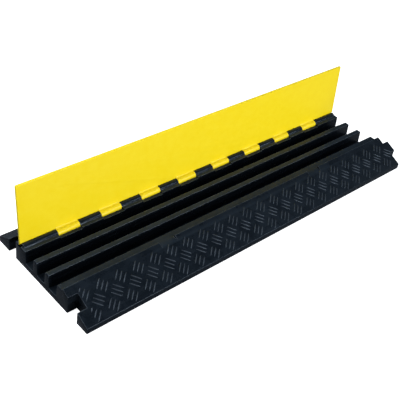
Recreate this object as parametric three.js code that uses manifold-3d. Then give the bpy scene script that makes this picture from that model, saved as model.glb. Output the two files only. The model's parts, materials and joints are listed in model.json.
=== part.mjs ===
// Floor cable ramp: one straight section of a rubber cable protector with three
// open cable channels and a yellow plastic lid, hinged along the rear and standing open.
// X runs along the length, -Y is the tread ramp in front, +Z is up.
// The origin lies on the underside, in the middle of the tread ramp's length
// and in the middle of the section's width.

import * as THREE from 'three';
import { mergeVertices } from 'three/addons/utils/BufferGeometryUtils.js';
import Module from 'manifold-3d';

const wasm = await Module();
wasm.setup();

// Lengths along X
const TREAD_RAMP_LENGTH = 1000;
const SEAT_SETBACK = 7; // the lid seat's right end stops this short of the tread ramp's
const BED_SETBACK = 14; // the channel bed's right end stops this short of the tread ramp's
const HINGE_INSET = 4; // from each end of the bed to the first and last knuckle
const LID_INSET = 1; // from each end of the bed to the lid's side edge

// Heights
const CREST_HEIGHT = 50;
const FLOOR_THICKNESS = 13;
const LIP_HEIGHT = 14;
const HINGE_LEDGE_HEIGHT = 44; // top of the hinge wall, in front of the knuckles
const REAR_RIM_HEIGHT = 46;

// Widths across the section, from the front edge to the rear edge
const TREAD_RAMP_RUN = 81.5;
const CREST_WIDTH = 1.6;
const SEAT_STEP_RUN = 1.5; // steep step from the crest down to the lid's seat
const SEAT_WIDTH = 15.9; // flat shoulder under the lid's front edge
const CHANNEL_COUNT = 3;
const CHANNEL_FLOOR_WIDTH = 24.5;
const RIB_FOOT_WIDTH = 16.5;
const WALL_DRAFT = 2.5; // each channel wall leans back by this much from foot to top
const HINGE_WALL_LEAN = 2.4; // the hinge wall's front face leans back by this much
const HINGE_LEDGE_WIDTH = 16.3; // from the top of the hinge wall's front face to the axis
const REAR_RIM_WIDTH = 9.5;
const REAR_RAMP_RUN = 63.5;

// Rounds
const LIP_ROUND = 2.5;
const CREST_ROUND = 1;
const RIB_ROUND = 2.5;
const FOOT_FILLET = 2.5;
const ROUND_STEPS = 4;

// Lid
const LID_THICKNESS = 4.6;
const LID_SEAT_GAP = 0.4; // between the closed lid and the ribs and seat
const LID_EDGE_GAP = 0.5; // between the closed lid's front edge and the crest
const LID_LEAN_BACK = 6; // degrees past upright when it rests on its stop
const LID_CORNER_RADIUS = 3;

// Hinge
const KNUCKLE_RADIUS = 8;
const KNUCKLE_PITCH = 54.6;
const LID_KNUCKLE_COUNT = 8;
const KNUCKLE_SIDE_GAP = 0.5;
const KNUCKLE_RADIAL_GAP = 0.5;
const LEDGE_CUT_DEPTH = 4; // the hinge wall's top is cut down in front of each lid knuckle
const ROD_RADIUS = 3;
const ROD_GAP = 0.3;
const ROD_END_COVER = 12; // rubber left over each end of the rod
const STOP_GAP = 0.3; // between the open lid's back and the rear rim
const ROUND_SEGMENTS = 36;

// End connectors: tongues at the right end, notches at the left end
const TONGUE_LENGTH = 20;
const NOTCH_END_GAP = 2.5; // the notch is this much deeper than the tongue is long
const CONNECTOR_SIDE_GAP = 1.5;
const FRONT_TONGUE_WIDTH = 28;
const FRONT_TONGUE_SETBACK = 35; // from the front edge to the front tongue
const REAR_TONGUE_WIDTH = 22.5;
const REAR_TONGUE_SETBACK = 39.5; // from the rear edge to the rear tongue

// Finger recesses in the crest, where the lid is lifted
const RECESS_LENGTH = 42;
const RECESS_SPACING = 469;
const RECESS_REACH = 26; // how far the cut runs forward from the lid's seat

// Places across the section, worked out from the sizes above
const WALL_TOP_HEIGHT = CREST_HEIGHT - LID_THICKNESS - LID_SEAT_GAP;
const AXIS_Z = CREST_HEIGHT - KNUCKLE_RADIUS; // the closed lid's top is level with the crest
const CHANNEL_BED_WIDTH = CHANNEL_COUNT * CHANNEL_FLOOR_WIDTH + (CHANNEL_COUNT - 1) * RIB_FOOT_WIDTH;
const LEAN = THREE.MathUtils.degToRad(LID_LEAN_BACK);
const STOP_REACH =
  KNUCKLE_RADIUS / Math.cos(LEAN) + (REAR_RIM_HEIGHT - AXIS_Z) * Math.tan(LEAN) + STOP_GAP;
const FRONT_WIDTH = TREAD_RAMP_RUN + CREST_WIDTH + SEAT_STEP_RUN + SEAT_WIDTH + WALL_DRAFT;
const HINGE_WIDTH = HINGE_WALL_LEAN + HINGE_LEDGE_WIDTH + STOP_REACH + REAR_RIM_WIDTH;
const SECTION_WIDTH = FRONT_WIDTH + CHANNEL_BED_WIDTH + HINGE_WIDTH + REAR_RAMP_RUN;

const FRONT_EDGE = -SECTION_WIDTH / 2;
const REAR_EDGE = SECTION_WIDTH / 2;
const CREST_FRONT = FRONT_EDGE + TREAD_RAMP_RUN;
const CREST_REAR = CREST_FRONT + CREST_WIDTH;
const SEAT_FRONT = CREST_REAR + SEAT_STEP_RUN;
const SEAT_REAR = SEAT_FRONT + SEAT_WIDTH;
const BED_FRONT = SEAT_REAR + WALL_DRAFT;
const BED_REAR = BED_FRONT + CHANNEL_BED_WIDTH;
const LEDGE_FRONT = BED_REAR + HINGE_WALL_LEAN;
const AXIS_Y = LEDGE_FRONT + HINGE_LEDGE_WIDTH;
const RIM_FRONT = AXIS_Y + STOP_REACH;
const RIM_REAR = RIM_FRONT + REAR_RIM_WIDTH;

// Places along the length
const LEFT_END = -TREAD_RAMP_LENGTH / 2;
const RIGHT_END = TREAD_RAMP_LENGTH / 2;
const SEAT_RIGHT_END = RIGHT_END - SEAT_SETBACK;
const BED_RIGHT_END = RIGHT_END - BED_SETBACK;
const BED_MIDDLE = (LEFT_END + BED_RIGHT_END) / 2;
const HINGE_LEFT = LEFT_END + HINGE_INSET;
const HINGE_RIGHT = BED_RIGHT_END - HINGE_INSET;
const MIDDLE_BLACK_COUNT = LID_KNUCKLE_COUNT - 1;
const FIRST_KNUCKLE_X = BED_MIDDLE - ((LID_KNUCKLE_COUNT + MIDDLE_BLACK_COUNT) * KNUCKLE_PITCH) / 2;

// Cuts run this far past the faces they cut through
const OVERCUT = 5;

const rubber = new THREE.MeshStandardMaterial({ color: 0x17191d, roughness: 0.55, metalness: 0 });
const yellowPlastic = new THREE.MeshStandardMaterial({ color: 0xf3dc1c, roughness: 0.42, metalness: 0 });
const steel = new THREE.MeshStandardMaterial({ color: 0x8d9094, roughness: 0.35, metalness: 1 });

// Turns a closed geometry into a solid that can be joined and cut.
function solidOf(geometry) {
  const bare = geometry.index ? geometry.toNonIndexed() : geometry.clone();
  bare.deleteAttribute('normal');
  bare.deleteAttribute('uv');
  const merged = mergeVertices(bare, 1e-4);
  return new wasm.Manifold(
    new wasm.Mesh({
      numProp: 3,
      vertProperties: new Float32Array(merged.attributes.position.array),
      triVerts: new Uint32Array(merged.index.array),
    }),
  );
}

// Turns a solid back into a geometry with flat-shaded faces.
function geometryOf(solid) {
  const mesh = solid.getMesh();
  const geometry = new THREE.BufferGeometry();
  geometry.setAttribute('position', new THREE.BufferAttribute(new Float32Array(mesh.vertProperties), 3));
  geometry.setIndex(new THREE.BufferAttribute(new Uint32Array(mesh.triVerts), 1));
  geometry.computeVertexNormals();
  return geometry;
}

// Extrudes a shape drawn in (Y, Z) along X, from one place to another.
function alongX(shape, fromX, toX) {
  const geometry = new THREE.ExtrudeGeometry(shape, {
    depth: toX - fromX,
    bevelEnabled: false,
    curveSegments: ROUND_STEPS,
  });
  const axes = new THREE.Matrix4().makeBasis(
    new THREE.Vector3(0, 1, 0),
    new THREE.Vector3(0, 0, 1),
    new THREE.Vector3(1, 0, 0),
  );
  geometry.applyMatrix4(axes);
  geometry.translate(fromX, 0, 0);
  return solidOf(geometry);
}

// A block given by its lower and upper corner.
function block(fromX, toX, fromY, toY, fromZ, toZ) {
  const geometry = new THREE.BoxGeometry(toX - fromX, toY - fromY, toZ - fromZ);
  geometry.translate((fromX + toX) / 2, (fromY + toY) / 2, (fromZ + toZ) / 2);
  return solidOf(geometry);
}

// A round bar along X about the point (y, z).
function barAlongX(radius, fromX, toX, y, z) {
  const geometry = new THREE.CylinderGeometry(radius, radius, toX - fromX, ROUND_SEGMENTS);
  geometry.rotateZ(Math.PI / 2);
  geometry.translate((fromX + toX) / 2, y, z);
  return solidOf(geometry);
}

// Draws a closed outline through corners [y, z, radius]: a corner with a radius is rounded.
function roundedOutline(corners) {
  const shape = new THREE.Shape();
  corners.forEach(([y, z, radius = 0], i) => {
    const corner = new THREE.Vector2(y, z);
    const before = new THREE.Vector2(...corners.at(i - 1).slice(0, 2));
    const after = new THREE.Vector2(...corners[(i + 1) % corners.length].slice(0, 2));
    const inward = before.clone().sub(corner).normalize();
    const outward = after.clone().sub(corner).normalize();
    const halfAngle = Math.acos(THREE.MathUtils.clamp(inward.dot(outward), -1, 1)) / 2;
    const reach = radius > 0 ? radius / Math.tan(halfAngle) : 0;
    const start = corner.clone().addScaledVector(inward, reach);
    const end = corner.clone().addScaledVector(outward, reach);
    if (i === 0) {
      shape.moveTo(start.x, start.y);
    } else {
      shape.lineTo(start.x, start.y);
    }
    if (radius > 0) {
      shape.quadraticCurveTo(corner.x, corner.y, end.x, end.y);
    }
  });
  shape.closePath();
  return shape;
}

// The corners of the cable channels, from the hinge wall forward to the lid's seat.
function channelCorners() {
  const corners = [[LEDGE_FRONT, HINGE_LEDGE_HEIGHT, RIB_ROUND]];
  let rear = BED_REAR;
  for (let i = 0; i < CHANNEL_COUNT; i += 1) {
    const front = rear - CHANNEL_FLOOR_WIDTH;
    corners.push([rear, FLOOR_THICKNESS, FOOT_FILLET]);
    corners.push([front, FLOOR_THICKNESS, FOOT_FILLET]);
    if (i < CHANNEL_COUNT - 1) {
      rear = front - RIB_FOOT_WIDTH;
      corners.push([front - WALL_DRAFT, WALL_TOP_HEIGHT, RIB_ROUND]);
      corners.push([rear + WALL_DRAFT, WALL_TOP_HEIGHT, RIB_ROUND]);
    }
  }
  corners.push([SEAT_REAR, WALL_TOP_HEIGHT, CREST_ROUND]);
  return corners;
}

// The section across the base, drawn in (Y, Z).
function baseSection() {
  return roundedOutline([
    [FRONT_EDGE, 0],
    [REAR_EDGE, 0],
    [REAR_EDGE, LIP_HEIGHT, LIP_ROUND],
    [RIM_REAR, REAR_RIM_HEIGHT],
    [RIM_FRONT, REAR_RIM_HEIGHT],
    [RIM_FRONT, AXIS_Z],
    [AXIS_Y, AXIS_Z],
    [AXIS_Y, HINGE_LEDGE_HEIGHT],
    ...channelCorners(),
    [SEAT_FRONT, WALL_TOP_HEIGHT],
    [CREST_REAR, CREST_HEIGHT, CREST_ROUND],
    [CREST_FRONT, CREST_HEIGHT, CREST_ROUND],
    [FRONT_EDGE, LIP_HEIGHT, LIP_ROUND],
  ]);
}

// Left and right limits of the lid's knuckles: every second pitch belongs to the lid.
function lidKnuckleSpans() {
  return Array.from({ length: LID_KNUCKLE_COUNT }, (_, i) => {
    const left = FIRST_KNUCKLE_X + 2 * i * KNUCKLE_PITCH;
    return [left, left + KNUCKLE_PITCH];
  });
}

// The stretches that the lid's knuckles leave free between two places.
function spansBetweenLidKnuckles(left, right) {
  const lidSpans = lidKnuckleSpans();
  const edges = [left, ...lidSpans.flat(), right];
  return Array.from({ length: lidSpans.length + 1 }, (_, i) => [edges[2 * i], edges[2 * i + 1]]);
}

// Tongues of the right end: [front, rear] across the section and the end they stand on.
const FRONT_TONGUE = {
  front: FRONT_EDGE + FRONT_TONGUE_SETBACK,
  rear: FRONT_EDGE + FRONT_TONGUE_SETBACK + FRONT_TONGUE_WIDTH,
  root: RIGHT_END,
};
const REAR_TONGUE = {
  front: REAR_EDGE - REAR_TONGUE_SETBACK - REAR_TONGUE_WIDTH,
  rear: REAR_EDGE - REAR_TONGUE_SETBACK,
  root: BED_RIGHT_END,
};

// A tongue keeps the section's own top surface past the end it stands on.
function tongue({ front, rear, root }) {
  const stretch = alongX(baseSection(), root - OVERCUT, root + TONGUE_LENGTH);
  const slice = block(
    root - 2 * OVERCUT, root + TONGUE_LENGTH + OVERCUT, front, rear, -OVERCUT, CREST_HEIGHT + OVERCUT);
  return stretch.intersect(slice);
}

// The notch that takes the next section's tongue.
function notch({ front, rear }) {
  return block(
    LEFT_END - OVERCUT, LEFT_END + TONGUE_LENGTH + NOTCH_END_GAP,
    front - CONNECTOR_SIDE_GAP, rear + CONNECTOR_SIDE_GAP,
    -OVERCUT, CREST_HEIGHT + OVERCUT);
}

// The rubber base, moulded in one piece.
function buildBase() {
  let base = alongX(baseSection(), LEFT_END, RIGHT_END);
  for (const [end, front] of [[SEAT_RIGHT_END, CREST_REAR], [BED_RIGHT_END, SEAT_REAR]]) {
    base = base.subtract(
      block(end, RIGHT_END + OVERCUT, front, REAR_EDGE + OVERCUT, -OVERCUT, CREST_HEIGHT + OVERCUT));
  }
  for (const end of [FRONT_TONGUE, REAR_TONGUE]) {
    base = base.add(tongue(end)).subtract(notch(end));
  }
  for (const [left, right] of spansBetweenLidKnuckles(HINGE_LEFT, HINGE_RIGHT)) {
    base = base.add(barAlongX(KNUCKLE_RADIUS, left, right, AXIS_Y, AXIS_Z));
  }
  for (const [left, right] of lidKnuckleSpans()) {
    base = base.subtract(barAlongX(KNUCKLE_RADIUS + KNUCKLE_RADIAL_GAP, left, right, AXIS_Y, AXIS_Z));
    base = base.subtract(
      block(
        left, right, BED_REAR, AXIS_Y,
        HINGE_LEDGE_HEIGHT - LEDGE_CUT_DEPTH, HINGE_LEDGE_HEIGHT + OVERCUT));
  }
  const boreEnds = [HINGE_LEFT + ROD_END_COVER - ROD_GAP, HINGE_RIGHT - ROD_END_COVER + ROD_GAP];
  base = base.subtract(barAlongX(ROD_RADIUS + ROD_GAP, ...boreEnds, AXIS_Y, AXIS_Z));
  for (const side of [-1, 1]) {
    const middle = BED_MIDDLE + (side * RECESS_SPACING) / 2;
    base = base.subtract(
      block(
        middle - RECESS_LENGTH / 2, middle + RECESS_LENGTH / 2,
        SEAT_FRONT - RECESS_REACH, SEAT_FRONT + SEAT_WIDTH / 2,
        WALL_TOP_HEIGHT, CREST_HEIGHT + OVERCUT));
  }
  const mesh = new THREE.Mesh(geometryOf(base), rubber);
  mesh.name = 'base';
  return mesh;
}

// The lid's plate seen from above when closed, with the hinge axis at y = 0.
function lidPlate() {
  const underside = KNUCKLE_RADIUS - LID_THICKNESS;
  const frontTop = CREST_REAR + LID_EDGE_GAP - AXIS_Y;
  const seatRise = LID_SEAT_GAP / (CREST_HEIGHT - WALL_TOP_HEIGHT);
  const frontUnder = SEAT_FRONT - SEAT_STEP_RUN * seatRise + LID_EDGE_GAP - AXIS_Y;
  const section = roundedOutline([
    [0, underside],
    [0, KNUCKLE_RADIUS],
    [frontTop, KNUCKLE_RADIUS],
    [frontUnder, underside],
  ]);
  return alongX(section, LEFT_END + LID_INSET, BED_RIGHT_END - LID_INSET);
}

// Everything outside the lid's outline with its rounded front corners.
function lidOutline() {
  const left = LEFT_END + LID_INSET;
  const right = BED_RIGHT_END - LID_INSET;
  const front = CREST_REAR + LID_EDGE_GAP - AXIS_Y;
  const outline = roundedOutline([
    [left, front, LID_CORNER_RADIUS],
    [right, front, LID_CORNER_RADIUS],
    [right, KNUCKLE_RADIUS],
    [left, KNUCKLE_RADIUS],
  ]);
  const geometry = new THREE.ExtrudeGeometry(outline, {
    depth: 2 * KNUCKLE_RADIUS + OVERCUT,
    bevelEnabled: false,
    curveSegments: ROUND_STEPS,
  });
  geometry.translate(0, 0, -KNUCKLE_RADIUS - OVERCUT / 2);
  return solidOf(geometry);
}

// The lid, moulded in one piece, about the hinge axis and in its closed place.
function buildLid() {
  let lid = lidPlate();
  for (const [left, right] of spansBetweenLidKnuckles(LEFT_END, BED_RIGHT_END)) {
    const cut = [left - KNUCKLE_SIDE_GAP, right + KNUCKLE_SIDE_GAP];
    lid = lid.subtract(barAlongX(KNUCKLE_RADIUS + KNUCKLE_RADIAL_GAP, ...cut, 0, 0));
  }
  for (const [left, right] of lidKnuckleSpans()) {
    lid = lid.add(barAlongX(KNUCKLE_RADIUS, left + KNUCKLE_SIDE_GAP, right - KNUCKLE_SIDE_GAP, 0, 0));
  }
  lid = lid.intersect(lidOutline());
  lid = lid.subtract(barAlongX(ROD_RADIUS + ROD_GAP, LEFT_END, BED_RIGHT_END, 0, 0));
  const mesh = new THREE.Mesh(geometryOf(lid), yellowPlastic);
  mesh.name = 'lid';
  return mesh;
}

// The steel rod through all knuckles.
function buildRod() {
  const rod = barAlongX(
    ROD_RADIUS, HINGE_LEFT + ROD_END_COVER, HINGE_RIGHT - ROD_END_COVER, AXIS_Y, AXIS_Z);
  const mesh = new THREE.Mesh(geometryOf(rod), steel);
  mesh.name = 'hinge_rod';
  return mesh;
}

// The lid hangs on the hinge axis and stands open, leaning back past upright.
const lidHinge = new THREE.Group();
lidHinge.position.set(0, AXIS_Y, AXIS_Z);
lidHinge.rotation.x = -Math.PI / 2 - LEAN;
lidHinge.add(buildLid());

const cableRamp = new THREE.Group();
cableRamp.add(buildBase(), lidHinge, buildRod());

export default cableRamp;
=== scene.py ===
"""The looks of a floor cable ramp: a black rubber section with three open cable
channels, a treaded front ramp and a yellow lid that stands open on its hinge.

Everything is in metres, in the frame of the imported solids: X runs along the
section, -Y points to the front ramp and +Z is up.
"""

import json
import logging
import math
from dataclasses import dataclass, field, replace
from enum import Enum
from typing import Iterable, Sequence

import bmesh
import bpy
from bpy.types import Material, Node, NodeSocket, NodeTree, Object
from mathutils import Matrix, Vector
from mathutils.bvhtree import BVHTree


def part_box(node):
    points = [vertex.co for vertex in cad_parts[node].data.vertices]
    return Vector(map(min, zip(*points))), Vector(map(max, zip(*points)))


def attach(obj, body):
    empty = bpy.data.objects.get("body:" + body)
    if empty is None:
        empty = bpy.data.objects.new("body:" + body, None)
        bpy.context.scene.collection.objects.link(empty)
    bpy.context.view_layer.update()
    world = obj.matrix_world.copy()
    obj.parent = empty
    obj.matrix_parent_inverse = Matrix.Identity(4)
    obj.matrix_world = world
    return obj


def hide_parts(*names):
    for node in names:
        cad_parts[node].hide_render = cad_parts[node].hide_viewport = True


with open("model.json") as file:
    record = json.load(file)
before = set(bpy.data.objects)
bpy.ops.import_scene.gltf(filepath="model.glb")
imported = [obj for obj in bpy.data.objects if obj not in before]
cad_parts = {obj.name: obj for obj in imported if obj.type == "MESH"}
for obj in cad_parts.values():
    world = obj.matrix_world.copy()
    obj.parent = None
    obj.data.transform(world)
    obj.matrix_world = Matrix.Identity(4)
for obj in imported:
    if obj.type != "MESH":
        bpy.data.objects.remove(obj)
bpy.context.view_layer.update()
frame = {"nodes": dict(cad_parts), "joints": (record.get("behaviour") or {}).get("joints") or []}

MM = 0.001
LOG = logging.getLogger("cable_ramp")

Point = tuple[float, float]
Colour = tuple[float, float, float]


class Body(Enum):
    """The bodies that the pieces ride on."""

    BASE = "base"
    LID = "lid"


class Slot(Enum):
    """The record's material slots."""

    RUBBER = "base_rubber"
    PLASTIC = "lid_plastic"
    STEEL = "rod_steel"


class Cut(Enum):
    """The ways one solid changes another."""

    JOIN = "UNION"
    REMOVE = "DIFFERENCE"
    KEEP = "INTERSECT"


@dataclass(frozen=True)
class Corner:
    """A corner of an outline drawn in (Y, Z), rounded where it has a radius."""

    y: float
    z: float
    radius: float = 0.0


def rounded(corners: Sequence[Corner], steps: int = 6) -> list[Point]:
    """Turns corners into the points of a closed outline with true arcs.

    Args:
        corners: The outline's corners in order.
        steps: How many straight stretches stand for each arc.

    Returns:
        The outline's points in the same order.
    """
    points: list[Point] = []
    for i, corner in enumerate(corners):
        here = Vector((corner.y, corner.z))
        if corner.radius <= 0:
            points.append(tuple(here))
            continue
        before, after = corners[i - 1], corners[(i + 1) % len(corners)]
        inward = (Vector((before.y, before.z)) - here).normalized()
        outward = (Vector((after.y, after.z)) - here).normalized()
        half = inward.angle(outward) / 2
        centre = here + (inward + outward).normalized() * (corner.radius / math.sin(half))
        reach = corner.radius / math.tan(half)
        first, last = here + inward * reach - centre, here + outward * reach - centre
        turn = first.angle_signed(last)
        for step in range(steps + 1):
            arm = first.copy()
            arm.rotate(Matrix.Rotation(-turn * step / steps, 2))
            points.append(tuple(centre + arm))
    return points


def circle(radius: float, y: float, z: float, segments: int = 48) -> list[Point]:
    """The points of a circle in (Y, Z).

    Args:
        radius: The circle's radius.
        y: Where its middle is along Y.
        z: Where its middle is along Z.
        segments: How many straight stretches stand for it.

    Returns:
        The circle's points.
    """
    turns = (2 * math.pi * i / segments for i in range(segments))
    return [(y + radius * math.cos(t), z + radius * math.sin(t)) for t in turns]


def new_object(name: str, bm: bmesh.types.BMesh) -> Object:
    """Makes an object of a mesh under construction and links it to the scene.

    Args:
        name: The object's name.
        bm: The mesh under construction, which is freed.

    Returns:
        The new object.
    """
    bmesh.ops.recalc_face_normals(bm, faces=bm.faces)
    mesh = bpy.data.meshes.new(name)
    bm.to_mesh(mesh)
    bm.free()
    piece = bpy.data.objects.new(name, mesh)
    bpy.context.scene.collection.objects.link(piece)
    return piece


def close_rings(bm: bmesh.types.BMesh, rings: Sequence[Sequence[bmesh.types.BMVert]]) -> None:
    """Joins rings of points into a closed skin, with a face at each end.

    Args:
        bm: The mesh under construction.
        rings: The rings in order, all with the same number of points.
    """
    for a, b in zip(rings, rings[1:]):
        count = len(a)
        for i in range(count):
            j = (i + 1) % count
            bm.faces.new((a[i], a[j], b[j], b[i]))
    for ring in (rings[0], rings[-1]):
        bm.faces.new(ring)


def prism(name: str, outline: Sequence[Point], left: float, right: float) -> Object:
    """Runs a (Y, Z) outline along X.

    Args:
        name: The object's name.
        outline: The outline's points.
        left: Where the prism starts along X.
        right: Where it ends.

    Returns:
        The closed solid.
    """
    bm = bmesh.new()
    close_rings(bm, [[bm.verts.new((x, y, z)) for y, z in outline] for x in (left, right)])
    return new_object(name, bm)


def block(name: str, low: Sequence[float], high: Sequence[float]) -> Object:
    """A block between two corners, used to cut other solids.

    Args:
        name: The object's name.
        low: Its lowest corner.
        high: Its highest corner.

    Returns:
        The closed solid.
    """
    outline = [(low[1], low[2]), (high[1], low[2]), (high[1], high[2]), (low[1], high[2])]
    return prism(name, outline, low[0], high[0])


def across(name: str, outline: Sequence[Point], front: float, rear: float) -> Object:
    """Runs an (X, Z) outline along Y.

    Args:
        name: The object's name.
        outline: The outline's points.
        front: Where the prism starts along Y.
        rear: Where it ends.

    Returns:
        The closed solid.
    """
    solid = prism(name, outline, -rear, -front)
    solid.data.transform(Matrix.Rotation(-math.pi / 2, 4, "Z"))
    return solid


def settle(piece: Object) -> None:
    """Applies a piece's modifiers to its mesh.

    Args:
        piece: The object whose modifiers are applied.
    """
    graph = bpy.context.evaluated_depsgraph_get()
    graph.update()
    done = bpy.data.meshes.new_from_object(piece.evaluated_get(graph))
    piece.modifiers.clear()
    old = piece.data
    piece.data = done
    bpy.data.meshes.remove(old)


def combine(piece: Object, tools: Iterable[Object], cut: Cut) -> None:
    """Joins solids to a piece, takes them away from it, or keeps what they share.

    Args:
        piece: The solid that changes.
        tools: The solids that change it, which are used up.
        cut: What they do to it.
    """
    for tool in tools:
        change = piece.modifiers.new("cut", "BOOLEAN")
        change.solver = "EXACT"
        change.operation = cut.value
        change.object = tool
        settle(piece)
        mesh = tool.data
        bpy.data.objects.remove(tool)
        bpy.data.meshes.remove(mesh)


@dataclass(frozen=True)
class EdgeRound:
    """How a piece's remaining sharp edges are rounded."""

    width: float
    segments: int = 3
    angle_deg: float = 38.0
    smooth_deg: float = 30.0
    merge: float = 0.1 * MM
    flat_deg: float = 0.2

    def apply(self, piece: Object) -> None:
        """Rounds the piece's edges and smooths its shading.

        A point that the rounding pushes further than its own width goes back onto the sharp form.

        Args:
            piece: The object whose mesh is finished.
        """
        bm = bmesh.new()
        bm.from_mesh(piece.data)
        bmesh.ops.remove_doubles(bm, verts=bm.verts, dist=self.merge)
        flat = math.radians(self.flat_deg)
        bmesh.ops.dissolve_limit(bm, angle_limit=flat, verts=bm.verts, edges=bm.edges, delimit={"NORMAL"})
        bm.to_mesh(piece.data)
        sharp = BVHTree.FromBMesh(bm)
        bm.free()
        rounding = piece.modifiers.new("edges", "BEVEL")
        rounding.limit_method = "ANGLE"
        rounding.angle_limit = math.radians(self.angle_deg)
        rounding.width = self.width
        rounding.segments = self.segments
        rounding.use_clamp_overlap = False
        settle(piece)
        for vertex in piece.data.vertices:
            place, _, _, distance = sharp.find_nearest(vertex.co)
            if distance > self.width:
                vertex.co = place
        piece.data.shade_smooth()
        piece.data.set_sharp_from_angle(angle=math.radians(self.smooth_deg))


@dataclass(frozen=True)
class Ramp:
    """A range of values, and what its two ends become."""

    low: float
    high: float
    to_low: float = 0.0
    to_high: float = 1.0


class Sheet:
    """A node tree with short ways to add and wire its nodes."""

    def __init__(self, tree: NodeTree) -> None:
        """Keeps the tree that the nodes go to."""
        self.tree = tree

    def add(self, kind: str, settings: dict | None = None, **inputs: object) -> Node:
        """Adds a node.

        Args:
            kind: The node's type name.
            settings: The node's own settings by name.
            **inputs: Input sockets by name with _ for a space: a value, or a socket to wire in.

        Returns:
            The new node.
        """
        node = self.tree.nodes.new(kind)
        for name, value in (settings or {}).items():
            setattr(node, name, value)
        for name, value in inputs.items():
            self.feed(node.inputs[name.replace("_", " ")], value)
        return node

    def feed(self, socket: NodeSocket, value: object) -> None:
        """Gives a socket its value, or wires another socket into it."""
        if isinstance(value, NodeSocket):
            self.tree.links.new(value, socket)
        else:
            socket.default_value = value

    def math(self, operation: str, first: object, second: object = 0.0) -> NodeSocket:
        """Adds a Math node.

        Args:
            operation: What it works out.
            first: Its first value or socket.
            second: Its second value or socket.

        Returns:
            The socket with the result.
        """
        node = self.add("ShaderNodeMath", {"operation": operation, "use_clamp": False})
        self.feed(node.inputs[0], first)
        self.feed(node.inputs[1], second)
        return node.outputs[0]

    def spread(self, value: object, ramp: Ramp) -> NodeSocket:
        """Maps a range of values to another range, and stops at its ends.

        Args:
            value: The value or socket that is mapped.
            ramp: The range, and what its ends become.

        Returns:
            The socket with the result.
        """
        node = self.add("ShaderNodeMapRange", {"clamp": True})
        for socket, given in zip(node.inputs, (value, ramp.low, ramp.high, ramp.to_low, ramp.to_high)):
            self.feed(socket, given)
        return node.outputs["Result"]

    def here(self) -> NodeSocket:
        """The place on the piece, by which the patterns are laid."""
        return self.add("ShaderNodeTexCoord").outputs["Object"]

    def lift(self) -> NodeSocket:
        """How far a face looks up: 1 if it is level, 0 if it is upright."""
        normal = self.add("ShaderNodeNewGeometry").outputs["Normal"]
        return self.add("ShaderNodeSeparateXYZ", None, Vector=normal).outputs["Z"]

    def noise(self, scale: object, detail: float = 2.0, **inputs: object) -> NodeSocket:
        """Adds a cloudy pattern, laid by the place on the piece unless it is given a Vector.

        Args:
            scale: How fine it is.
            detail: How many finer layers it has.
            **inputs: The pattern's other inputs by name.

        Returns:
            The socket with the pattern.
        """
        if "Vector" not in inputs:
            inputs["Vector"] = self.here()
        return self.add("ShaderNodeTexNoise", None, Scale=scale, Detail=detail, **inputs).outputs["Fac"]

    def give(self, **outputs: object) -> None:
        """Puts a group's results out, each under its output's name."""
        self.add("NodeGroupOutput", None, **outputs)

    def give_mask(self, value: object) -> None:
        """Puts a group's mask out, kept between 0 and 1."""
        self.give(Mask=self.add("ShaderNodeClamp", None, Value=value).outputs[0])

    def blend(self, factor: object, first: object, second: object) -> NodeSocket:
        """Blends two colours.

        Args:
            factor: The share of the second colour.
            first: The first colour or socket.
            second: The second colour or socket.

        Returns:
            The socket with the blended colour.
        """
        node = self.add("ShaderNodeMix", {"data_type": "RGBA"})
        self.feed(node.inputs[0], factor)
        self.feed(node.inputs[6], first)
        self.feed(node.inputs[7], second)
        return node.outputs[2]


def group(name: str, inputs: dict[str, float], outputs: Sequence[str]) -> tuple[NodeTree, Sheet, Node]:
    """Starts a node group with named number sockets.

    Args:
        name: The group's name.
        inputs: The input sockets' names and usual values.
        outputs: The output sockets' names.

    Returns:
        The group, the sheet to fill it with and the node with its inputs.
    """
    tree = bpy.data.node_groups.new(name, "ShaderNodeTree")
    for label, usual in inputs.items():
        socket = tree.interface.new_socket(label, in_out="INPUT", socket_type="NodeSocketFloat")
        socket.default_value = usual
    for label in outputs:
        tree.interface.new_socket(label, in_out="OUTPUT", socket_type="NodeSocketFloat")
    sheet = Sheet(tree)
    return tree, sheet, sheet.add("NodeGroupInput")


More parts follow.
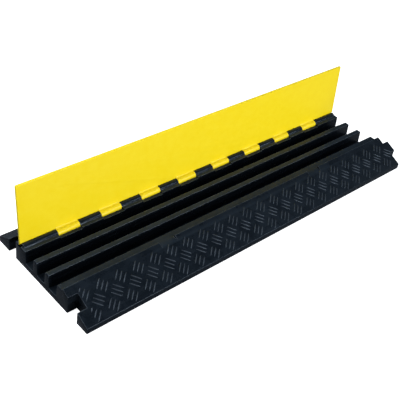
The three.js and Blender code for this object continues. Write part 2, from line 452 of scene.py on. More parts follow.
class Effects:
    """The surface effects that the finishes share, each made once as a node group."""

    SPECK_SHARE = 0.45
    FINE_SHARE = 0.5
    WAVE_SCALE = 26.0
    BLOT_SCALE = 60.0
    MOTTLED = Ramp(0.35, 0.65)
    EDGE_SAMPLES = 6
    BENT = Ramp(0.998, 0.93)
    OUTER = Ramp(0.48, 0.505)
    TRODDEN_AND_LIT = Ramp(0.15, 0.65, to_low=0.12)
    BROKEN = Ramp(0.38, 0.62, to_low=0.35)
    LYING = Ramp(0.2, 1.0)
    PATCHES = Ramp(0.35, 0.7, to_low=0.1)
    INNER = Ramp(0.5, 0.42)
    STREAKS = Ramp(0.52, 0.72)
    LEVEL = Ramp(0.94, 0.985)
    RUBBED_AND_SHEEN = Ramp(0.3, 0.7, to_low=0.6)

    def __init__(self) -> None:
        """Makes the node groups."""
        self.grain = self.make_grain()
        self.edge_wear_and_highlight = self.make_edge_wear_and_highlight()
        self.dust_and_sheen = self.make_dust_and_sheen()
        self.scuffs = self.make_scuffs()
        self.rubbed_tops_and_sheen = self.make_tops_and_sheen()

    def make_grain(self) -> NodeTree:
        """The fine pebbled grain of a moulded surface and its slow waviness.

        Returns:
            A group that puts out Height and Mottle.
        """
        tree, sheet, given = group("Mould Grain", {"Scale": 1400.0, "Waves": 0.4}, ("Height", "Mottle"))
        scale = given.outputs["Scale"]
        pebble = sheet.add("ShaderNodeTexVoronoi", {"feature": "SMOOTH_F1"}, Vector=sheet.here(), Scale=scale)
        speck = sheet.noise(sheet.math("MULTIPLY", scale, self.SPECK_SHARE), 3.0)
        fine = sheet.math("MULTIPLY", sheet.math("ADD", pebble.outputs["Distance"], speck), self.FINE_SHARE)
        slow = sheet.math("MULTIPLY", sheet.noise(self.WAVE_SCALE), given.outputs["Waves"])
        blot = sheet.noise(self.BLOT_SCALE, 5.0, Roughness=0.6)
        sheet.give(Height=sheet.math("ADD", fine, slow), Mottle=sheet.spread(blot, self.MOTTLED))
        return tree

    def make_edge_wear_and_highlight(self) -> NodeTree:
        """The paler line along outer edges: partly edge wear, partly a painted highlight where the rounded
        edges catch the light, stronger where a face looks up.

        Returns:
            A group that puts out Mask.
        """
        tree, sheet, given = group("Edge Wear and Painted Highlight", {"Radius": 1.2 * MM, "Break-up": 90.0}, ("Mask",))
        surface = sheet.add("ShaderNodeNewGeometry")
        reach = given.outputs["Radius"]
        softened = sheet.add("ShaderNodeBevel", {"samples": self.EDGE_SAMPLES}, Radius=reach)
        alike = sheet.add("ShaderNodeVectorMath", {"operation": "DOT_PRODUCT"})
        sheet.feed(alike.inputs[0], softened.outputs["Normal"])
        sheet.feed(alike.inputs[1], surface.outputs["Normal"])
        bent = sheet.spread(alike.outputs["Value"], self.BENT)
        outer = sheet.spread(surface.outputs["Pointiness"], self.OUTER)
        # The edge line is stronger where a face looks up: rubbing, and a painted highlight of the light from
        # above.
        trodden_and_lit = sheet.spread(sheet.lift(), self.TRODDEN_AND_LIT)
        edge = sheet.math("MULTIPLY", sheet.math("MULTIPLY", bent, outer), trodden_and_lit)
        broken = sheet.spread(sheet.noise(given.outputs["Break-up"], 4.0), self.BROKEN)
        sheet.give_mask(sheet.math("MULTIPLY", edge, broken))
        return tree

    def make_dust_and_sheen(self) -> NodeTree:
        """Thin dust that settles on faces that look up and gathers in corners; on faces that look up its pale
        bluish colour is also a painted sheen of the light from above.

        Returns:
            A group that puts out Mask.
        """
        tree, sheet, given = group("Settled Dust and Painted Sheen", {"Patch Size": 0.04, "Corners": 0.5}, ("Mask",))
        # Faces that look up get the pale colour: dust, and a painted sheen of the light from above.
        facing = sheet.spread(sheet.lift(), self.LYING)
        fineness = sheet.math("DIVIDE", 1.0, given.outputs["Patch Size"])
        patches = sheet.spread(sheet.noise(fineness, 6.0, Roughness=0.65), self.PATCHES)
        lying_dust_and_sheen = sheet.math("MULTIPLY", facing, patches)
        surface = sheet.add("ShaderNodeNewGeometry")
        inner = sheet.spread(surface.outputs["Pointiness"], self.INNER)
        corner = sheet.math("MULTIPLY", inner, given.outputs["Corners"])
        sheet.give_mask(sheet.math("ADD", lying_dust_and_sheen, corner))
        return tree

    def make_scuffs(self) -> NodeTree:
        """Faint rubbed streaks along the length.

        Returns:
            A group that puts out Mask.
        """
        tree, sheet, given = group("Scuffs", {"Scale": 18.0, "Stretch": 9.0}, ("Mask",))
        stretch = given.outputs["Stretch"]
        pull = sheet.add("ShaderNodeCombineXYZ", None, X=1.0, Y=stretch, Z=stretch)
        along = sheet.add("ShaderNodeVectorMath", {"operation": "MULTIPLY"})
        sheet.feed(along.inputs[0], sheet.here())
        sheet.feed(along.inputs[1], pull.outputs[0])
        streaks = sheet.noise(
            given.outputs["Scale"], 8.0, Vector=along.outputs[0], Roughness=0.7, Distortion=0.4)
        sheet.give_mask(sheet.spread(streaks, self.STREAKS))
        return tree

    def make_tops_and_sheen(self) -> NodeTree:
        """Level faces high up on a piece, which are rubbed matt and take a paler bluish colour that is a
        painted sheen of the light from above.

        Returns:
            A group that puts out Mask.
        """
        tree, sheet, given = group("Rubbed Tops and Painted Sheen", {"Lowest": 38 * MM, "Patch Scale": 70.0}, ("Mask",))
        # Level high faces: rubbed matt, and a painted sheen of the light from above.
        level = sheet.spread(sheet.lift(), self.LEVEL)
        height = sheet.add("ShaderNodeSeparateXYZ", None, Vector=sheet.here()).outputs["Z"]
        high = sheet.math("GREATER_THAN", height, given.outputs["Lowest"])
        patchy = sheet.spread(sheet.noise(given.outputs["Patch Scale"], 5.0), self.RUBBED_AND_SHEEN)
        sheet.give_mask(sheet.math("MULTIPLY", sheet.math("MULTIPLY", level, high), patchy))
        return tree

    @staticmethod
    def place(sheet: Sheet, tree: NodeTree, **values: float) -> Node:
        """Puts an effect into a material.

        Args:
            sheet: The material's sheet.
            tree: The effect's node group.
            **values: The effect's inputs by name with _ for a space.

        Returns:
            The group node.
        """
        node = sheet.add("ShaderNodeGroup", {"node_tree": tree})
        for name, value in values.items():
            node.inputs[name.replace("_", " ")].default_value = value
        return node


@dataclass(frozen=True)
class Finish:
    """A moulded or drawn surface: its colours, gloss, grain and small faults, with painted highlights along
    edges and a painted sheen on faces that look up.
    """

    name: str
    slot: Slot
    colour: Colour
    mottle_colour: Colour
    worn_and_highlight_colour: Colour
    dust_and_sheen_colour: Colour
    roughness: float
    rough_spread: float
    worn_roughness: float
    specular: float
    grain_scale: float
    grain_depth: float
    waves: float = 0.3
    wear_and_highlight: float = 0.5
    dust_and_sheen: float = 0.3
    scuff: float = 0.3
    metallic: float = 0.0
    tint: Colour = (1.0, 1.0, 1.0)
    wear_and_highlight_reach: float = 1.2 * MM
    rubbed_tops_and_sheen: float = 0.0
    tops_matt: float = 0.0
    rubbed_top_and_sheen_colour: Colour = (0.5, 0.5, 0.5)
    dust_matt: float = 0.25

    def material(self, effects: Effects) -> Material:
        """Builds the finish's material.

        Args:
            effects: The shared surface effects.

        Returns:
            The material.
        """
        material = bpy.data.materials.new(self.name)
        material.use_nodes = True
        material.node_tree.nodes.clear()
        sheet = Sheet(material.node_tree)
        grain = Effects.place(sheet, effects.grain, Scale=self.grain_scale, Waves=self.waves)
        wear_and_highlight = Effects.place(sheet, effects.edge_wear_and_highlight, Radius=self.wear_and_highlight_reach)
        dust_and_sheen = Effects.place(sheet, effects.dust_and_sheen)
        scuffs = Effects.place(sheet, effects.scuffs)
        colour = sheet.blend(grain.outputs["Mottle"], (*self.colour, 1.0), (*self.mottle_colour, 1.0))
        # Edge wear, partly a painted highlight along the rounded edges, and scuffs turn the colour paler.
        wear_and_highlight_share = sheet.math("MULTIPLY", wear_and_highlight.outputs["Mask"], self.wear_and_highlight)
        rubbed = sheet.math("MULTIPLY", scuffs.outputs["Mask"], self.scuff)
        colour = sheet.blend(sheet.math("MAXIMUM", wear_and_highlight_share, rubbed), colour, (*self.worn_and_highlight_colour, 1.0))
        # Dust on faces that look up, partly a painted sheen of the light from above.
        lying_dust_and_sheen = sheet.math("MULTIPLY", dust_and_sheen.outputs["Mask"], self.dust_and_sheen)
        colour = sheet.blend(lying_dust_and_sheen, colour, (*self.dust_and_sheen_colour, 1.0))
        spread = sheet.math("MULTIPLY", grain.outputs["Mottle"], self.rough_spread)
        rough = sheet.math("ADD", spread, self.roughness)
        rubbing = sheet.math("MULTIPLY", rubbed, self.worn_roughness - self.roughness)
        rough = sheet.math("ADD", rough, rubbing)
        rough = sheet.math("ADD", rough, sheet.math("MULTIPLY", lying_dust_and_sheen, self.dust_matt))
        # Level high faces are rubbed matt and take a painted sheen of the light from above.
        if self.rubbed_tops_and_sheen > 0:
            level = Effects.place(sheet, effects.rubbed_tops_and_sheen).outputs["Mask"]
            share = sheet.math("MULTIPLY", level, self.rubbed_tops_and_sheen)
            colour = sheet.blend(share, colour, (*self.rubbed_top_and_sheen_colour, 1.0))
            rough = sheet.math("ADD", rough, sheet.math("MULTIPLY", level, self.tops_matt))
        height = grain.outputs["Height"]
        bump = sheet.add("ShaderNodeBump", None, Height=height, Strength=1.0, Distance=self.grain_depth)
        shader = sheet.add("ShaderNodeBsdfPrincipled")
        shader.inputs["Metallic"].default_value = self.metallic
        shader.inputs["Specular IOR Level"].default_value = self.specular
        shader.inputs["Specular Tint"].default_value = (*self.tint, 1.0)
        sheet.feed(shader.inputs["Base Color"], colour)
        sheet.feed(shader.inputs["Roughness"], rough)
        sheet.feed(shader.inputs["Normal"], bump.outputs["Normal"])
        out = sheet.add("ShaderNodeOutputMaterial")
        sheet.feed(out.inputs["Surface"], shader.outputs["BSDF"])
        return material

    def dress(self, piece: Object, material: Material) -> None:
        """Gives a piece this finish.

        Args:
            piece: The object to dress.
            material: The finish's material.
        """
        piece.data.materials.clear()
        piece.data.materials.append(material)


# Its pale bluish edge, dust and top colours are partly painted highlight and painted sheen of the light from
# above.
RUBBER = Finish(
    name="moulded black rubber",
    slot=Slot.RUBBER,
    colour=(0.0028, 0.0044, 0.0066),
    mottle_colour=(0.0040, 0.0058, 0.0084),
    worn_and_highlight_colour=(0.150, 0.175, 0.205),
    dust_and_sheen_colour=(0.026, 0.036, 0.050),
    roughness=0.22,
    rough_spread=0.06,
    worn_roughness=0.40,
    specular=0.22,
    grain_scale=1500.0,
    grain_depth=0.018 * MM,
    waves=6.0,
    wear_and_highlight=0.9,
    dust_and_sheen=0.28,
    scuff=0.03,
    tint=(0.66, 0.82, 1.0),
    wear_and_highlight_reach=2.0 * MM,
    rubbed_tops_and_sheen=0.07,
    tops_matt=0.2,
    rubbed_top_and_sheen_colour=(0.080, 0.125, 0.190),
)

# The bars' paler colour is partly a painted highlight on the bars.
TREAD = replace(
    RUBBER,
    name="rubbed tread rubber with painted highlight",
    colour=(0.022, 0.028, 0.036),
    mottle_colour=(0.036, 0.044, 0.056),
    wear_and_highlight=0.3,
    dust_and_sheen=0.0,
)

PLASTIC = Finish(
    name="moulded yellow plastic",
    slot=Slot.PLASTIC,
    colour=(0.938, 0.702, 0.007),
    mottle_colour=(0.952, 0.726, 0.013),
    worn_and_highlight_colour=(0.950, 0.800, 0.080),
    dust_and_sheen_colour=(0.60, 0.50, 0.20),
    roughness=0.32,
    rough_spread=0.06,
    worn_roughness=0.5,
    specular=0.35,
    grain_scale=1800.0,
    grain_depth=0.012 * MM,
    waves=2.0,
    wear_and_highlight=0.35,
    dust_and_sheen=0.05,
    scuff=0.08,
)

STEEL = Finish(
    name="drawn steel",
    slot=Slot.STEEL,
    colour=(0.50, 0.51, 0.53),
    mottle_colour=(0.42, 0.43, 0.45),
    worn_and_highlight_colour=(0.62, 0.63, 0.65),
    dust_and_sheen_colour=(0.30, 0.28, 0.25),
    roughness=0.30,
    rough_spread=0.12,
    worn_roughness=0.4,
    specular=0.5,
    grain_scale=900.0,
    grain_depth=0.02 * MM,
    metallic=1.0,
    dust_and_sheen=0.1,
    scuff=0.4,
)


@dataclass
class Section:
    """The rubber section's sizes across its width, and its places in the frame."""

    crest_height: float = 50 * MM
    floor_thickness: float = 13 * MM
    lip_height: float = 14 * MM
    ledge_height: float = 44 * MM
    rim_height: float = 46 * MM
    tread_run: float = 81.5 * MM
    crest_width: float = 1.6 * MM
    step_run: float = 1.5 * MM
    seat_width: float = 15.9 * MM
    channel_count: int = 3
    channel_width: float = 24.5 * MM
    rib_width: float = 16.5 * MM
    draft: float = 2.5 * MM
    wall_lean: float = 2.4 * MM
    rim_width: float = 9.5 * MM
    lid_drop: float = 5 * MM
    lip_round: float = 2.5 * MM
    crest_round: float = 5 * MM
    step_round: float = 0.7 * MM
    edge_round: float = 1.0 * MM
    seat_round: float = 1.2 * MM
    rib_round: float = 0.5 * MM
    foot_round: float = 3.0 * MM
    hinge: Vector = field(default_factory=lambda: Vector(frame["joints"][0]["pos_m"]))

    def __post_init__(self) -> None:
        """Works out the places across the width from the frame."""
        low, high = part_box("base")
        self.front_edge = low.y
        self.rear_edge = high.y
        self.crest_front = self.front_edge + self.tread_run
        self.crest_rear = self.crest_front + self.crest_width
        self.seat_front = self.crest_rear + self.step_run
        self.seat_rear = self.seat_front + self.seat_width
        bed_width = self.channel_count * self.channel_width + (self.channel_count - 1) * self.rib_width
        self.bed_rear = self.seat_rear + self.draft + bed_width
        self.ledge_front = self.bed_rear + self.wall_lean
        self.wall_top = self.crest_height - self.lid_drop

    @property
    def slope(self) -> float:
        """The tread ramp's angle above the floor."""
        return math.atan2(self.crest_height - self.lip_height, self.tread_run)

    def channels(self) -> list[Corner]:
        """The corners of the channels, from the hinge wall to the lid's seat."""
        corners = [Corner(self.ledge_front, self.ledge_height, self.rib_round)]
        rear = self.bed_rear
        for i in range(self.channel_count):
            front = rear - self.channel_width
            corners.append(Corner(rear, self.floor_thickness, self.foot_round))
            corners.append(Corner(front, self.floor_thickness, self.foot_round))
            if i < self.channel_count - 1:
                rear = front - self.rib_width
                corners.append(Corner(front - self.draft, self.wall_top, self.rib_round))
                corners.append(Corner(rear + self.draft, self.wall_top, self.rib_round))
        corners.append(Corner(self.seat_rear, self.wall_top, self.seat_round))
        return corners

    def outline(self, rim_front: float) -> list[Point]:
        """The whole section's outline.

        Args:
            rim_front: Where the rear rim's front face is along Y.

        Returns:
            The outline's points in (Y, Z).
        """
        return rounded([
            Corner(self.front_edge, 0.0, self.edge_round),
            Corner(self.rear_edge, 0.0, self.edge_round),
            Corner(self.rear_edge, self.lip_height, self.lip_round),
            Corner(rim_front + self.rim_width, self.rim_height, self.edge_round),
            Corner(rim_front, self.rim_height, self.edge_round),
            Corner(rim_front, self.hinge.z),
            Corner(self.hinge.y, self.hinge.z),
            Corner(self.hinge.y, self.ledge_height),
            *self.channels(),
            Corner(self.seat_front, self.wall_top, self.edge_round),
            Corner(self.crest_rear, self.crest_height, self.step_round),
            Corner(self.crest_front, self.crest_height, self.crest_round),
            Corner(self.front_edge, self.lip_height, self.lip_round),
        ])


@dataclass
class Hinge:
    """The knuckles, the gaps between them and the rod's bore."""

    section: Section
    radius: float = 8 * MM
    pitch: float = 54.6 * MM
    lid_knuckles: int = 8
    side_gap: float = 0.5 * MM
    radial_gap: float = 0.5 * MM
    rod_radius: float = 3 * MM
    rod_gap: float = 0.3 * MM
    rod_cover: float = 12 * MM
    inset: float = 4 * MM
    bed_setback: float = 14 * MM
    lean_deg: float = 6.0
    ledge_cut: float = 4 * MM
    stop_gap: float = 0.3 * MM

    def __post_init__(self) -> None:
        """Works out the hinge's places along the length."""
        self.axis = self.section.hinge
        self.left_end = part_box("base")[0].x
        self.bed_right = 2 * self.axis.x - self.left_end
        self.left = self.left_end + self.inset
        self.right = self.bed_right - self.inset

    @property
    def rim_front(self) -> float:
        """Where the rear rim's front face is, just behind the open lid."""
        lean = math.radians(self.lean_deg)
        rise = self.section.rim_height - self.axis.z
        return self.axis.y + self.radius / math.cos(lean) + rise * math.tan(lean) + self.stop_gap

    def lid_spans(self) -> list[tuple[float, float]]:
        """Left and right limits of the pitches that hold the lid's knuckles."""
        count = 2 * self.lid_knuckles - 1
        first = self.axis.x - count * self.pitch / 2
        return [(first + i * self.pitch, first + (i + 1) * self.pitch) for i in range(0, count, 2)]

    def base_spans(self, left: float, right: float) -> list[tuple[float, float]]:
        """The stretches that the lid's knuckles leave free.

        Args:
            left: Where the first stretch starts.
            right: Where the last stretch ends.

        Returns:
            The stretches' limits.
        """
        edges = [left, *(x for span in self.lid_spans() for x in span), right]
        return list(zip(edges[0::2], edges[1::2]))

    def bar(self, name: str, radius: float, left: float, right: float) -> Object:
        """A round bar about the hinge axis.

        Args:
            name: The object's name.
            radius: The bar's radius.
            left: Where it starts along X.
            right: Where it ends.

        Returns:
            The closed solid.
        """
        return prism(name, circle(radius, self.axis.y, self.axis.z), left, right)


@dataclass
class RubberBase:
    """The rubber base, moulded in one piece, with its tongues, notches and recesses."""

    section: Section
    hinge: Hinge
    tread_length: float = 1000 * MM
    seat_setback: float = 7 * MM
    tongue_length: float = 20 * MM
    notch_end_gap: float = 2.5 * MM
    notch_side_gap: float = 1.5 * MM
    front_tongue_width: float = 28 * MM
    front_tongue_setback: float = 35 * MM
    rear_tongue_width: float = 22.5 * MM
    rear_tongue_setback: float = 39.5 * MM
    recess_length: float = 42 * MM
    recess_spacing: float = 469 * MM
    recess_reach: float = 26 * MM
    over: float = 5 * MM
    end_round: float = 3.5 * MM
    edges: EdgeRound = EdgeRound(width=0.6 * MM)

    def __post_init__(self) -> None:
        """Works out where the ends and the tongues are."""
        self.left_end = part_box("base")[0].x
        self.right_end = self.left_end + self.tread_length
        self.outline = self.section.outline(self.hinge.rim_front)
        front = self.section.front_edge + self.front_tongue_setback
        rear = self.section.rear_edge - self.rear_tongue_setback
        self.tongues = [
            (front, front + self.front_tongue_width, self.right_end),
            (rear - self.rear_tongue_width, rear, self.hinge.bed_right),
        ]

    def slab(self, name: str, x: Point, y: Point) -> Object:
        """A block through the section's whole height.

        Args:
            name: The object's name.
            x: Its limits along X.
            y: Its limits along Y.

        Returns:
            The closed solid.
        """
        top = self.section.crest_height + self.over
        return block(name, (x[0], y[0], -self.over), (x[1], y[1], top))

    def add_tongues(self, base: Object) -> None:
        """Adds the right end's tongues, which keep the section's own top."""
        for front, rear, root in self.tongues:
            tip = root + self.tongue_length
            tongue = prism("tongue", self.outline, root - self.over, tip)
            limits = (root - 2 * self.over, tip + self.over)
            combine(tongue, [self.slab("slice", limits, (front, rear))], Cut.KEEP)
            combine(base, [tongue], Cut.JOIN)

    def cut_notches(self, base: Object) -> None:
        """Cuts the left end's notches, which take the next section's tongues."""
        depth = self.left_end + self.tongue_length + self.notch_end_gap
        for front, rear, _ in self.tongues:
            limits = (front - self.notch_side_gap, rear + self.notch_side_gap)
            combine(base, [self.slab("notch", (self.left_end - self.over, depth), limits)], Cut.REMOVE)

    def cut_end(self, base: Object, end: float, front: float, rear: float, side: int = 1) -> None:
        """Ends a strip of the section, and rounds the top corner of its end.

        Args:
            base: The base under construction.
            end: Where the strip ends along X.
            front: The strip's front limit along Y.
            rear: Its rear limit.
            side: 1 for a right end, -1 for a left end.
        """
        radius, top = self.end_round, self.section.wall_top
        far = end + side * (self.tongue_length + self.seat_setback + self.hinge.bed_setback)
        high = self.section.crest_height + self.over
        arc = []
        steps = 6
        for i in range(steps + 1):
            turn = math.pi / 2 * i / steps
            arc.append((end - side * radius * (1 - math.cos(turn)), top - radius * (1 - math.sin(turn))))
        outline = [(far, -self.over), (end, -self.over), *arc, (end - side * radius, high), (far, high)]
        combine(base, [across("end", outline, front, rear)], Cut.REMOVE)

    def cut_ends(self, base: Object) -> None:
        """Takes the seat and the channel bed back at the right, and rounds the walls' ends."""
        section = self.section
        behind = section.rear_edge + self.over
        seat = self.right_end - self.seat_setback
        bed = self.hinge.bed_right
        self.cut_end(base, seat, section.seat_front, section.seat_rear)
        self.cut_end(base, bed, section.seat_rear, section.bed_rear)
        beyond = self.right_end + self.over
        strips = [
            self.slab("step_end", (seat, beyond), (section.crest_rear, section.seat_front)),
            self.slab("hinge_end", (bed, beyond), (section.bed_rear, behind)),
        ]
        combine(base, strips, Cut.REMOVE)
        self.cut_end(base, self.left_end, section.seat_front, section.bed_rear, -1)

    def cut_recesses(self, base: Object) -> None:
        """Cuts the two finger recesses where the lid is lifted."""
        middle = (self.left_end + self.hinge.bed_right) / 2
        for side in (-1, 1):
            centre = middle + side * self.recess_spacing / 2
            low = (
                centre - self.recess_length / 2, self.section.seat_front - self.recess_reach,
                self.section.wall_top)
            high = (
                centre + self.recess_length / 2, self.section.seat_front + self.section.seat_width / 2,
                self.section.crest_height + self.over)
            combine(base, [block("recess", low, high)], Cut.REMOVE)

    def shape_knuckles(self, base: Object) -> None:
        """Adds the base's knuckles, frees room for the lid's and bores for the rod."""
        for left, right in self.hinge.base_spans(self.hinge.left, self.hinge.right):
            combine(base, [self.hinge.bar("knuckle", self.hinge.radius, left, right)], Cut.JOIN)
        for left, right in self.hinge.lid_spans():
            room = self.hinge.bar("room", self.hinge.radius + self.hinge.radial_gap, left, right)
            combine(base, [room], Cut.REMOVE)
            low = (left, self.section.bed_rear, self.section.ledge_height - self.hinge.ledge_cut)
            high = (right, self.hinge.axis.y, self.section.ledge_height + self.over)
            combine(base, [block("ledge_cut", low, high)], Cut.REMOVE)
        hinge = self.hinge
        ends = (hinge.left + hinge.rod_cover - hinge.rod_gap, hinge.right - hinge.rod_cover + hinge.rod_gap)
        combine(base, [hinge.bar("bore", hinge.rod_radius + hinge.rod_gap, *ends)], Cut.REMOVE)

    def build(self) -> Object:
        """Builds the base.

        Returns:
            The finished mesh object.
        """
        base = prism("rubber_base", self.outline, self.left_end, self.right_end)
        self.cut_ends(base)
        self.add_tongues(base)
        self.cut_notches(base)
        self.cut_recesses(base)
        self.shape_knuckles(base)
        self.edges.apply(base)
        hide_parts("base")
        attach(base, Body.BASE.value)
        return base


@dataclass
class TreadBars:
    """The raised bars on the front ramp: groups of three, set crosswise in three rows."""

    base: RubberBase
    length: float = 24 * MM
    width: float = 3.3 * MM
    height: float = 1.7 * MM
    sunk: float = 0.4 * MM
    bar_pitch: float = 8.9 * MM
    bars_per_group: int = 3
    group_pitch: float = 44.54 * MM
    row_pitch: float = 22.6 * MM
    middle_row: float = 40.6 * MM
    first_group: float = 52.6 * MM
    last_group: float = 990 * MM
    margin: float = 25 * MM
    shortest: float = 0.4
    stations: int = 16
    around: int = 8
    tip_share: float = 0.16
    smooth_deg: float = 50.0
    # The powers that shape a bar's plan, its top along its length, the fall at its tips and its back.
    plan_power: float = 0.62
    top_power: float = 5
    tip_power: float = 0.8
    back_power: float = 0.85

    def lay(self) -> list[tuple[float, float, int]]:
        """Where the groups lie.

        Returns:
            For each group its place along X from the left end, its place up the slope, and the
            direction of its bars: 1 rises to the right, -1 falls to the right.
        """
        groups = []
        for row in (-1, 0, 1):
            start = self.first_group if row == 0 else self.first_group - self.group_pitch / 2
            count = int((self.last_group - start) / self.group_pitch) + 1
            up = self.middle_row + row * self.row_pitch
            groups += [(start + k * self.group_pitch, up, -1 if row == 0 else 1) for k in range(count)]
        return groups

    def point(self, along: float, up: float, height: float) -> Vector:
        """A point by its place on the front ramp.

        Args:
            along: How far it is from the left end.
            up: How far it is up the slope from the front edge.
            height: How far it stands off the ramp.

        Returns:
            The point in the frame.
        """
        slope = self.base.section.slope
        rise, run = math.sin(slope), math.cos(slope)
        y = self.base.section.front_edge + up * run - height * rise
        z = self.base.section.lip_height + up * rise + height * run
        return Vector((self.base.left_end + along, y, z))

    def add_bar(self, bm: bmesh.types.BMesh, along: float, up: float, direction: int, start: float) -> None:
        """Adds one lens-shaped bar with a rounded back.

        Args:
            bm: The mesh under construction.
            along: The bar's middle along X from the left end.
            up: Its middle up the slope.
            direction: 1 if it rises to the right, -1 if it falls.
            start: The share of its length that is cut off at its left end.
        """
        cos45 = math.sqrt(0.5)
        rings = []
        low = -1 + 2 * start
        for i in range(self.stations + 1):
            t = -1 + 2 * i / self.stations
            u = low + (t + 1) / 2 * (1 - low)
            wide = self.width / 2 * (self.tip_share + (1 - self.tip_share) * (1 - t * t) ** self.plan_power)
            tall = self.sunk + self.height * (1 - abs(t) ** self.top_power) ** self.tip_power
            ring = []
            for j in range(self.around + 1):
                turn = math.pi * j / self.around
                across = wide * math.cos(turn)
                height = tall * math.sin(turn) ** self.back_power - self.sunk
                reach = u * self.length / 2
                place_x = along + reach * cos45 - direction * across * cos45
                place_up = up + direction * reach * cos45 + across * cos45
                ring.append(bm.verts.new(self.point(place_x, place_up, height)))
            rings.append(ring)
        close_rings(bm, rings)

    def build(self) -> Object:
        """Builds all the bars as one mesh.

        Returns:
            The finished mesh object.
        """
        bm = bmesh.new()
        half = self.length / 2 * math.sqrt(0.5)
        for along, up, direction in self.lay():
            for i in range(self.bars_per_group):
                step = (i - (self.bars_per_group - 1) / 2) * self.bar_pitch * math.sqrt(0.5)
                place = along + step
                start = max(0.0, (self.margin - (place - half)) / (2 * half))
                if start < 1 - self.shortest:
                    self.add_bar(bm, place, up - direction * step, direction, start)
        bars = new_object("tread_bars", bm)
        bars.data.shade_smooth()
        bars.data.set_sharp_from_angle(angle=math.radians(self.smooth_deg))
        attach(bars, Body.BASE.value)
        return bars


@dataclass
class YellowLid:
    """The lid, moulded in one piece with its knuckles, standing open on its stop."""

    hinge: Hinge
    thickness: float = 4.6 * MM
    reach: float = 144.6 * MM
    front_slant: float = 1.4 * MM
    side_inset: float = 1 * MM
    corner_round: float = 3 * MM
    blend_round: float = 4 * MM
    outer_lip_round: float = 0.6 * MM
    inner_lip_round: float = 0.8 * MM
    bore_segments: int = 32
    over: float = 1 * MM
    edges: EdgeRound = EdgeRound(width=0.45 * MM)

    def __post_init__(self) -> None:
        """Works out the lid's ends."""
        self.left = self.hinge.left_end + self.side_inset
        self.right = self.hinge.bed_right - self.side_inset

    def plate_outline(self) -> list[Point]:
        """The closed plate's section, with the hinge axis at (0, 0)."""
        top = self.hinge.radius
        under = top - self.thickness
        return rounded([
            Corner(0.0, under),
            Corner(0.0, top),
            Corner(-self.reach, top, self.outer_lip_round),
            Corner(-self.reach + self.front_slant, under, self.inner_lip_round),
        ])

    def knuckle_outline(self) -> list[Point]:
        """A knuckle's section, which flows into the plate's underside in a hollow round."""
        radius, blend = self.hinge.radius, self.blend_round
        under = radius - self.thickness
        centre_z = under - blend
        centre_y = -math.sqrt((radius + blend) ** 2 - centre_z ** 2)
        points = [(0.0, radius)]
        points += [(centre_y, radius), (centre_y, under)]
        start, end = math.pi / 2, math.atan2(-centre_z, -centre_y)
        steps = 8
        for i in range(1, steps + 1):
            turn = start + (end - start) * i / steps
            points.append((centre_y + blend * math.cos(turn), centre_z + blend * math.sin(turn)))
        touch = math.atan2(centre_z, centre_y) % (2 * math.pi)
        arc = 36
        for i in range(1, arc):
            turn = touch + (2.5 * math.pi - touch) * i / arc
            points.append((radius * math.cos(turn), radius * math.sin(turn)))
        return points

    def outer_limit(self) -> Object:
        """The lid's outline from above, with rounded front corners, as a tall solid."""
        corners = rounded([
            Corner(self.left, -self.reach, self.corner_round),
            Corner(self.right, -self.reach, self.corner_round),
            Corner(self.right, 2 * self.hinge.radius),
            Corner(self.left, 2 * self.hinge.radius),
        ])
        tall = 3 * self.hinge.radius
        bm = bmesh.new()
        close_rings(bm, [[bm.verts.new((x, y, z)) for x, y in corners] for z in (-tall, tall)])
        return new_object("limit", bm)

    def build(self) -> Object:
        """Builds the lid closed about its axis and then stands it open.

        Returns:
            The finished mesh object.
        """
        hinge = self.hinge
        ends = (self.left - self.over, self.right + self.over)
        lid = prism("yellow_lid", self.plate_outline(), *ends)
        room = circle(hinge.radius + hinge.radial_gap, 0.0, 0.0)
        for left, right in hinge.base_spans(self.left - 2 * self.over, self.right + 2 * self.over):
            limits = (left - hinge.side_gap, right + hinge.side_gap)
            combine(lid, [prism("room", room, *limits)], Cut.REMOVE)
        for left, right in hinge.lid_spans():
            limits = (left + hinge.side_gap, right - hinge.side_gap)
            combine(lid, [prism("knuckle", self.knuckle_outline(), *limits)], Cut.JOIN)
        combine(lid, [self.outer_limit()], Cut.KEEP)
        bore = circle(hinge.rod_radius + hinge.rod_gap, 0.0, 0.0, self.bore_segments)
        combine(lid, [prism("bore", bore, *ends)], Cut.REMOVE)
        self.edges.apply(lid)
        opened = Matrix.Rotation(-math.radians(90 + hinge.lean_deg), 4, "X")
        lid.data.transform(Matrix.Translation((0.0, hinge.axis.y, hinge.axis.z)) @ opened)
        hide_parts("lid")
        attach(lid, Body.LID.value)
        return lid


@dataclass
class HingeRod:
    """The steel rod in the knuckles, whose own solid is shown."""

    node: str = "hinge_rod"
    smooth_deg: float = 40.0

    def show(self) -> Object:
        """Smooths the rod's shading.

        Returns:
            The rod's own object.
        """
        rod = frame["nodes"][self.node]
        rod.data.shade_smooth()
        rod.data.set_sharp_from_angle(angle=math.radians(self.smooth_deg))
        return rod


@dataclass(frozen=True)
class SoftBox:
    """A soft lamp and the point that it shines at."""

    name: str
    place: tuple[float, float, float]
    target: tuple[float, float, float]
    size: tuple[float, float]
    power: float
    colour: Colour

    def light(self) -> Object:
        """Sets the lamp up.

        Returns:
            The lamp.
        """
        lamp = bpy.data.lights.new(self.name, "AREA")
        lamp.shape = "RECTANGLE"
        lamp.size, lamp.size_y = self.size
        lamp.energy = self.power
        lamp.color = self.colour
        stand = bpy.data.objects.new(self.name, lamp)
        bpy.context.scene.collection.objects.link(stand)
        stand.location = self.place
        stand.rotation_mode = "QUATERNION"
        aim = Vector(self.target) - Vector(self.place)
        stand.rotation_quaternion = aim.to_track_quat("-Z", "Y")
        return stand


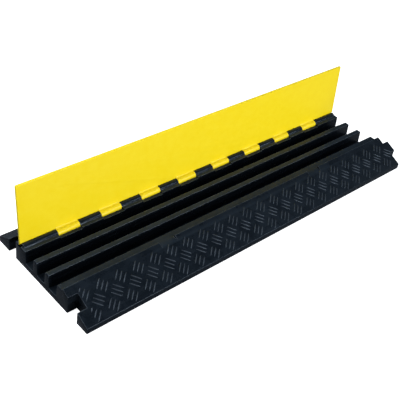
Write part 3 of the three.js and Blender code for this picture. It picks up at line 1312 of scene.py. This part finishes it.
@dataclass
class Studio:
    """A plain pale floor, a pale surround and soft lamps."""

    floor_half: float = 6.0
    floor_drop: float = 0.2 * MM
    floor_colour: Colour = (0.86, 0.86, 0.86)
    floor_glow: float = 0.95
    floor_roughness: float = 0.9
    floor_specular: float = 0.1
    floor_patches: float = 3.0
    floor_shade: float = 0.985
    felt_floor: Colour = (0.20, 0.21, 0.23)
    seen_colour: Colour = (1.0, 1.0, 1.0)
    seen_strength: float = 1.0
    felt_colour: Colour = (0.66, 0.84, 1.0)
    felt_strength: float = 0.15
    lamps: tuple[SoftBox, ...] = (
        SoftBox("key", (-0.2, -3.0, 0.45), (0.0, 0.0, 0.05), (2.4, 0.6), 75.0, (1.0, 1.0, 1.0)),
        SoftBox("strip", (2.1, -2.45, 1.45), (2.1, 0.0, 0.05), (2.4, 0.20), 34.0, (0.92, 0.96, 1.0)),
        SoftBox("front", (1.5, -1.6, 1.60), (0.0, 0.0, 0.05), (1.6, 0.8), 5.0, (0.72, 0.86, 1.0)),
        SoftBox("top", (-1.2, 0.6, 2.0), (0.0, 0.0, 0.05), (1.4, 1.0), 36.0, (0.92, 0.96, 1.0)),
        SoftBox("back", (-0.8, 2.6, 1.3), (0.0, 0.0, 0.05), (1.8, 0.8), 34.0, (1.0, 1.0, 1.0)),
    )

    def lay_floor(self) -> Object:
        """Lays the floor.

        Returns:
            The floor.
        """
        bm = bmesh.new()
        half = self.floor_half
        corners = ((-half, -half), (half, -half), (half, half), (-half, half))
        bm.faces.new([bm.verts.new((x, y, -self.floor_drop)) for x, y in corners])
        floor = new_object("floor", bm)
        material = bpy.data.materials.new("pale floor")
        material.use_nodes = True
        material.node_tree.nodes.clear()
        sheet = Sheet(material.node_tree)
        patches = sheet.noise(self.floor_patches)
        mix = sheet.add("ShaderNodeMixShader")
        sheet.feed(mix.inputs[0], sheet.add("ShaderNodeLightPath").outputs["Is Camera Ray"])
        floors = ((self.felt_floor, 0.0), (self.floor_colour, self.floor_glow))
        for i, (colour, glow) in enumerate(floors, 1):
            shader = sheet.add("ShaderNodeBsdfPrincipled", None, Roughness=self.floor_roughness)
            shader.inputs["Specular IOR Level"].default_value = self.floor_specular
            shader.inputs["Emission Color"].default_value = (1.0, 1.0, 1.0, 1.0)
            shader.inputs["Emission Strength"].default_value = glow
            shade = tuple(self.floor_shade * part for part in colour)
            tone = sheet.blend(patches, (*colour, 1.0), (*shade, 1.0))
            sheet.feed(shader.inputs["Base Color"], tone)
            sheet.feed(mix.inputs[i], shader.outputs["BSDF"])
        out = sheet.add("ShaderNodeOutputMaterial")
        sheet.feed(out.inputs["Surface"], mix.outputs[0])
        floor.data.materials.append(material)
        return floor

    def hang_surround(self) -> None:
        """Makes the pale surround: bright behind the ramp, dimmer as a light."""
        world = bpy.data.worlds.new("surround")
        bpy.context.scene.world = world
        world.use_nodes = True
        world.node_tree.nodes.clear()
        sheet = Sheet(world.node_tree)
        mix = sheet.add("ShaderNodeMixShader")
        sheet.feed(mix.inputs[0], sheet.add("ShaderNodeLightPath").outputs["Is Camera Ray"])
        surrounds = ((self.felt_colour, self.felt_strength), (self.seen_colour, self.seen_strength))
        for i, (colour, strength) in enumerate(surrounds, 1):
            glow = sheet.add("ShaderNodeBackground", None, Color=(*colour, 1.0), Strength=strength)
            sheet.feed(mix.inputs[i], glow.outputs[0])
        out = sheet.add("ShaderNodeOutputWorld")
        sheet.feed(out.inputs["Surface"], mix.outputs[0])

    def set_up(self) -> None:
        """Sets up the floor, the surround, the lamps and the plain colour view."""
        self.lay_floor()
        self.hang_surround()
        for lamp in self.lamps:
            lamp.light()
        view = bpy.context.scene.view_settings
        view.view_transform = "Standard"
        view.look = "None"


@dataclass(frozen=True)
class PhotoCamera:
    """The camera at the photograph's viewing angle."""

    eye: tuple[float, float, float] = (-1.08383, -0.88450, 1.08497)
    azimuth_deg: float = 48.638
    elevation_deg: float = 38.135
    roll_deg: float = 10.481
    lens_mm: float = 67.324
    sensor_mm: float = 36.0
    nearest: float = 0.05
    furthest: float = 50.0

    def set_up(self) -> Object:
        """Places the camera.

        Returns:
            The camera.
        """
        azimuth, elevation = math.radians(self.azimuth_deg), math.radians(self.elevation_deg)
        forward = Vector((
            math.sin(azimuth) * math.cos(elevation),
            math.cos(azimuth) * math.cos(elevation),
            -math.sin(elevation)))
        data = bpy.data.cameras.new("photo_camera")
        data.lens = self.lens_mm
        data.sensor_width = self.sensor_mm
        data.sensor_fit = "HORIZONTAL"
        data.clip_start, data.clip_end = self.nearest, self.furthest
        camera = bpy.data.objects.new("photo_camera", data)
        bpy.context.scene.collection.objects.link(camera)
        level = forward.to_track_quat("-Z", "Y")
        roll = Matrix.Rotation(math.radians(self.roll_deg), 3, "Z").to_quaternion()
        camera.rotation_mode = "QUATERNION"
        camera.location = self.eye
        camera.rotation_quaternion = level @ roll
        bpy.context.scene.camera = camera
        return camera


def main() -> None:
    """Builds and dresses every piece, then the studio and the camera."""
    logging.basicConfig(level=logging.INFO, format="%(message)s")
    PhotoCamera().set_up()
    effects = Effects()
    finishes = (RUBBER, TREAD, PLASTIC, STEEL)
    rubber, tread, plastic, steel = (finish.material(effects) for finish in finishes)
    section = Section()
    hinge = Hinge(section)
    base = RubberBase(section, hinge)
    pieces = [
        (base.build(), RUBBER, rubber),
        (TreadBars(base).build(), TREAD, tread),
        (YellowLid(hinge).build(), PLASTIC, plastic),
        (HingeRod().show(), STEEL, steel),
    ]
    for piece, finish, material in pieces:
        finish.dress(piece, material)
        LOG.info("%s: %d faces, %s", piece.name, len(piece.data.polygons), finish.name)
    Studio().set_up()


if __name__ == "__main__":
    main()
